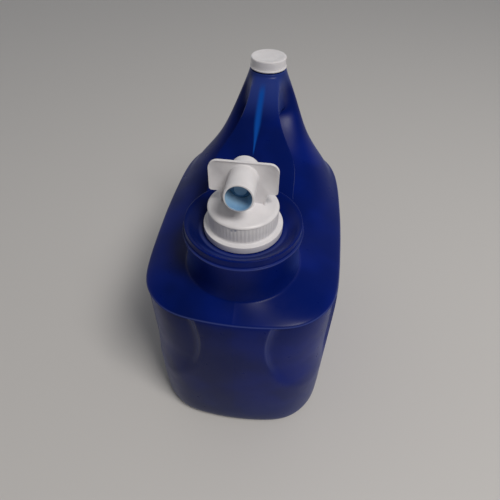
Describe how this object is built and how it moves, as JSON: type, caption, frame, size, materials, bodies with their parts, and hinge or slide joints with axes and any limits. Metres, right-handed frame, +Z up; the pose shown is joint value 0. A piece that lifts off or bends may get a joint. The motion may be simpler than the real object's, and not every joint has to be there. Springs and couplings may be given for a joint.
{
  "type": "laundry detergent bottle",
  "caption": "Upright blow-moulded detergent jug with a hollow carrying bar, a push-button tap on a front boss and a screw vent cap at the back.",
  "frame": {"origin": "centre of the base, on the surface that the bottle stands on", "axes": "+Z up, the tap's spout points along -Y, +X to the right as seen from the spout side"},
  "size_m": [0.151, 0.233, 0.2487],
  "materials": {
    "blue_hdpe": "semi-gloss blow-moulded polyethylene, slightly translucent",
    "white_polypropylene": "satin injection-moulded polypropylene",
    "white_elastomer": "satin",
    "natural_polyethylene_foam": "matt foam",
    "black_rubber": "matt"
  },
  "bodies": {
    "bottle": {"bottle": "blue_hdpe"},
    "tap_washer": {"tap_gasket": "natural_polyethylene_foam"},
    "tap": {"tap_body": "white_polypropylene"},
    "button": {"tap_button": "white_elastomer", "valve_stem": "white_polypropylene", "valve_seal": "black_rubber"},
    "vent_liner": {"vent_cap_liner": "natural_polyethylene_foam"},
    "vent": {"vent_cap": "white_polypropylene"}
  },
  "joints": [
    {"name": "tap_lift", "type": "slide", "parent": "bottle", "child": "tap_washer", "axis": [0, 0, 1], "range_m": [0, 0.0061]},
    {"name": "tap_turn", "type": "hinge", "parent": "tap_washer", "child": "tap", "pos_m": [0, -0.0595, 0.1918], "axis": [0, 0, 1], "range_deg": [0, 540]},
    {"name": "button_press", "type": "slide", "parent": "tap", "child": "button", "axis": [0, -1, 0], "range_m": [0, 0.004], "stiffness_N_per_m": 400},
    {"name": "vent_cap_lift", "type": "slide", "parent": "bottle", "child": "vent_liner", "axis": [0, 0, 1], "range_m": [0, 0.0041]},
    {"name": "vent_cap_turn", "type": "hinge", "parent": "vent_liner", "child": "vent", "pos_m": [0, 0.0938, 0.2398], "axis": [0, 0, 1], "range_deg": [0, 450]}
  ],
  "couplings": [
    {"joint": "tap_lift", "follows": "tap_turn", "m_per_rad": 0.00063662},
    {"joint": "vent_cap_lift", "follows": "vent_cap_turn", "m_per_rad": 0.0005093}
  ]
}
